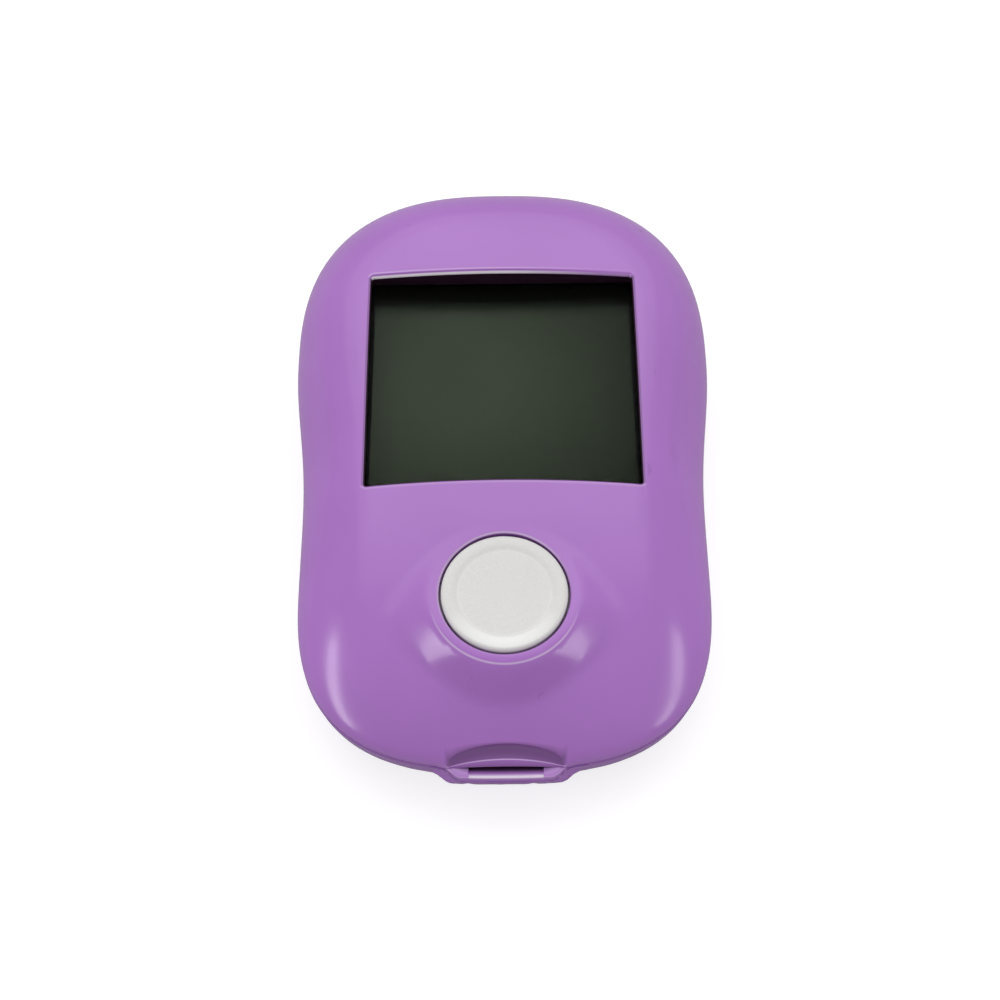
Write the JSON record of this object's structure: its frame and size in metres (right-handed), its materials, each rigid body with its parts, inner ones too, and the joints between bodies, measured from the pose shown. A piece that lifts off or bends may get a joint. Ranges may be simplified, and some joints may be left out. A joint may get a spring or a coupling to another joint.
{
  "type": "blood glucose meter",
  "caption": "hand-held blood glucose meter with a waisted two-shell housing, a large display window, a round push button on a mound and a test-strip port at its lower end",
  "frame": {"origin": "the middle of the overall box in X and Y, on the flat rear face that the meter rests on", "axes": "+Z out of the display, +Y towards the display end, the strip port at the -Y end, +X to the right as the display is read"},
  "size_m": [0.0554, 0.085, 0.021],
  "materials": {
    "front_cover": "glossy moulded lilac plastic",
    "rear_cover": "glossy moulded lilac plastic",
    "battery_door": "glossy moulded lilac plastic with grip grooves",
    "display_lens": "clear acrylic",
    "lens_seal": "black foam tape",
    "display_holder": "black moulded plastic",
    "display_front_glass": "dark green-grey display glass",
    "display_rear_glass": "dark green-grey display glass",
    "display_reflector": "matt reflector film",
    "zebra_connectors": "banded silicone rubber",
    "main_board": "green solder mask",
    "chips": "black moulding compound",
    "small_parts": "ceramic with tinned ends",
    "bright_metal": "nickel-plated steel",
    "black_plastic": "black moulded plastic",
    "main_button": "finely textured off-white plastic",
    "strip_port_bezel": "glossy moulded lilac plastic",
    "cream_plastic": "cream moulded plastic",
    "gold_contacts": "gold-plated spring strip",
    "cells": "plain printed wrap on a steel can",
    "screws": "zinc-plated steel"
  },
  "bodies": {
    "housing": {"front_cover": "front_cover", "rear_cover": "rear_cover", "display_lens": "display_lens", "lens_seal": "lens_seal", "display_holder": "display_holder", "display_front_glass": "display_front_glass", "display_rear_glass": "display_rear_glass", "display_reflector": "display_reflector", "zebra_connectors": "zebra_connectors", "main_board": "main_board", "main_chip": "chips", "sensor_chip": "chips", "small_parts": "small_parts", "quartz_crystal": "bright_metal", "buzzer": "black_plastic", "switch_body": "black_plastic", "strip_port_bezel": "strip_port_bezel", "strip_connector": "cream_plastic", "strip_contacts": "gold_contacts", "battery_left": "cells", "battery_right": "cells", "battery_springs": "bright_metal", "battery_plates": "bright_metal", "case_screws": "screws", "board_screws": "screws"},
    "button": {"main_button": "main_button"},
    "stem": {"switch_stem": "black_plastic"},
    "door": {"battery_door": "battery_door"}
  },
  "joints": [
    {"name": "button_press", "type": "slide", "parent": "housing", "child": "button", "axis": [0, 0, -1], "range_m": [0, 0.0004], "stiffness_N_per_m": 1500, "springref_m": -0.0003},
    {"name": "stem_press", "type": "slide", "parent": "housing", "child": "stem", "axis": [0, 0, -1], "range_m": [0, 0.0004]},
    {"name": "door_slide", "type": "slide", "parent": "housing", "child": "door", "axis": [0, 1, 0], "range_m": [0, 0.008]}
  ],
  "couplings": [
    {"joint": "stem_press", "follows": "button_press", "ratio": 1}
  ]
}
